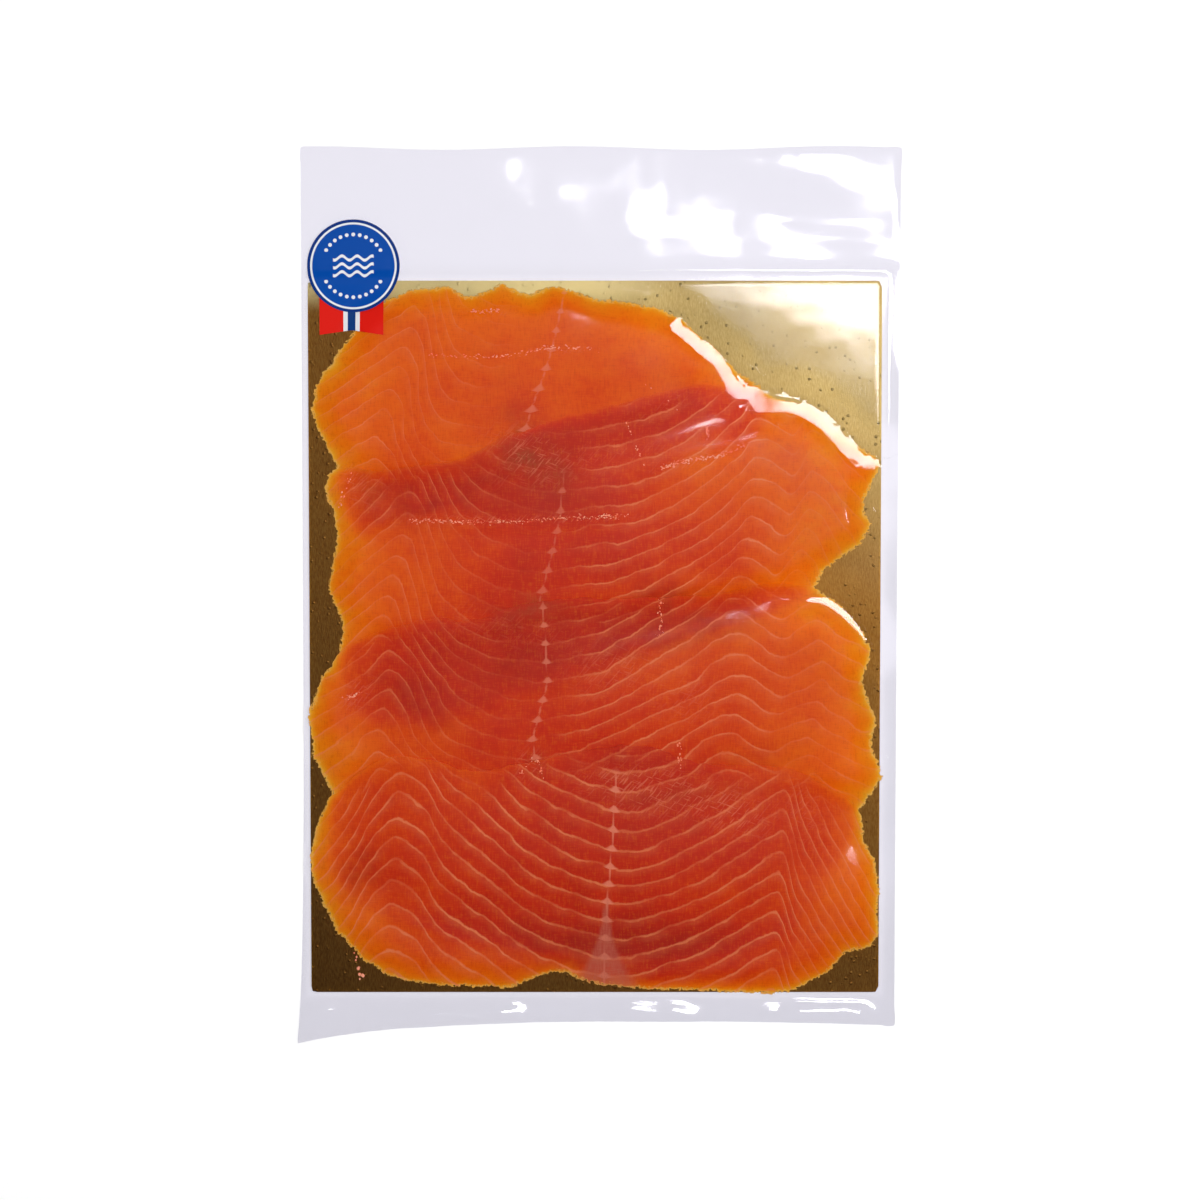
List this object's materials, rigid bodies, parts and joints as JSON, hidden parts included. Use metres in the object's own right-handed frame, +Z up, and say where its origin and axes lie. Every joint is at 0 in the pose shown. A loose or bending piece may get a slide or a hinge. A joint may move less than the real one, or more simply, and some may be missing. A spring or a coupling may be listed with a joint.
{
  "type": "pack of smoked trout",
  "caption": "Flat clear vacuum pouch that holds overlapping slices of smoked trout on a gold card, with a round sticker and a short ribbon at one corner.",
  "frame": {"origin": "middle of the underside of the whole pack's box, where the flat back of the pouch rests", "axes": "+Y along the pouch towards its wide empty flap, +X across it, +Z up out of the shown side"},
  "size_m": [0.202, 0.3006, 0.0081],
  "materials": {
    "film": "clear glossy film with a faint lavender tint",
    "gold_card": "brushed gold foil on board",
    "trout": "moist translucent orange flesh with pale fat lines",
    "ribbon_print": "glossy red with white and blue stripes",
    "sticker_print": "glossy blue with a white ring"
  },
  "bodies": {
    "root": {"pouch": "film", "card": "gold_card", "slice_1": "trout", "slice_2": "trout", "slice_3": "trout", "slice_4": "trout", "ribbon": "ribbon_print", "sticker": "sticker_print"}
  },
  "joints": []
}
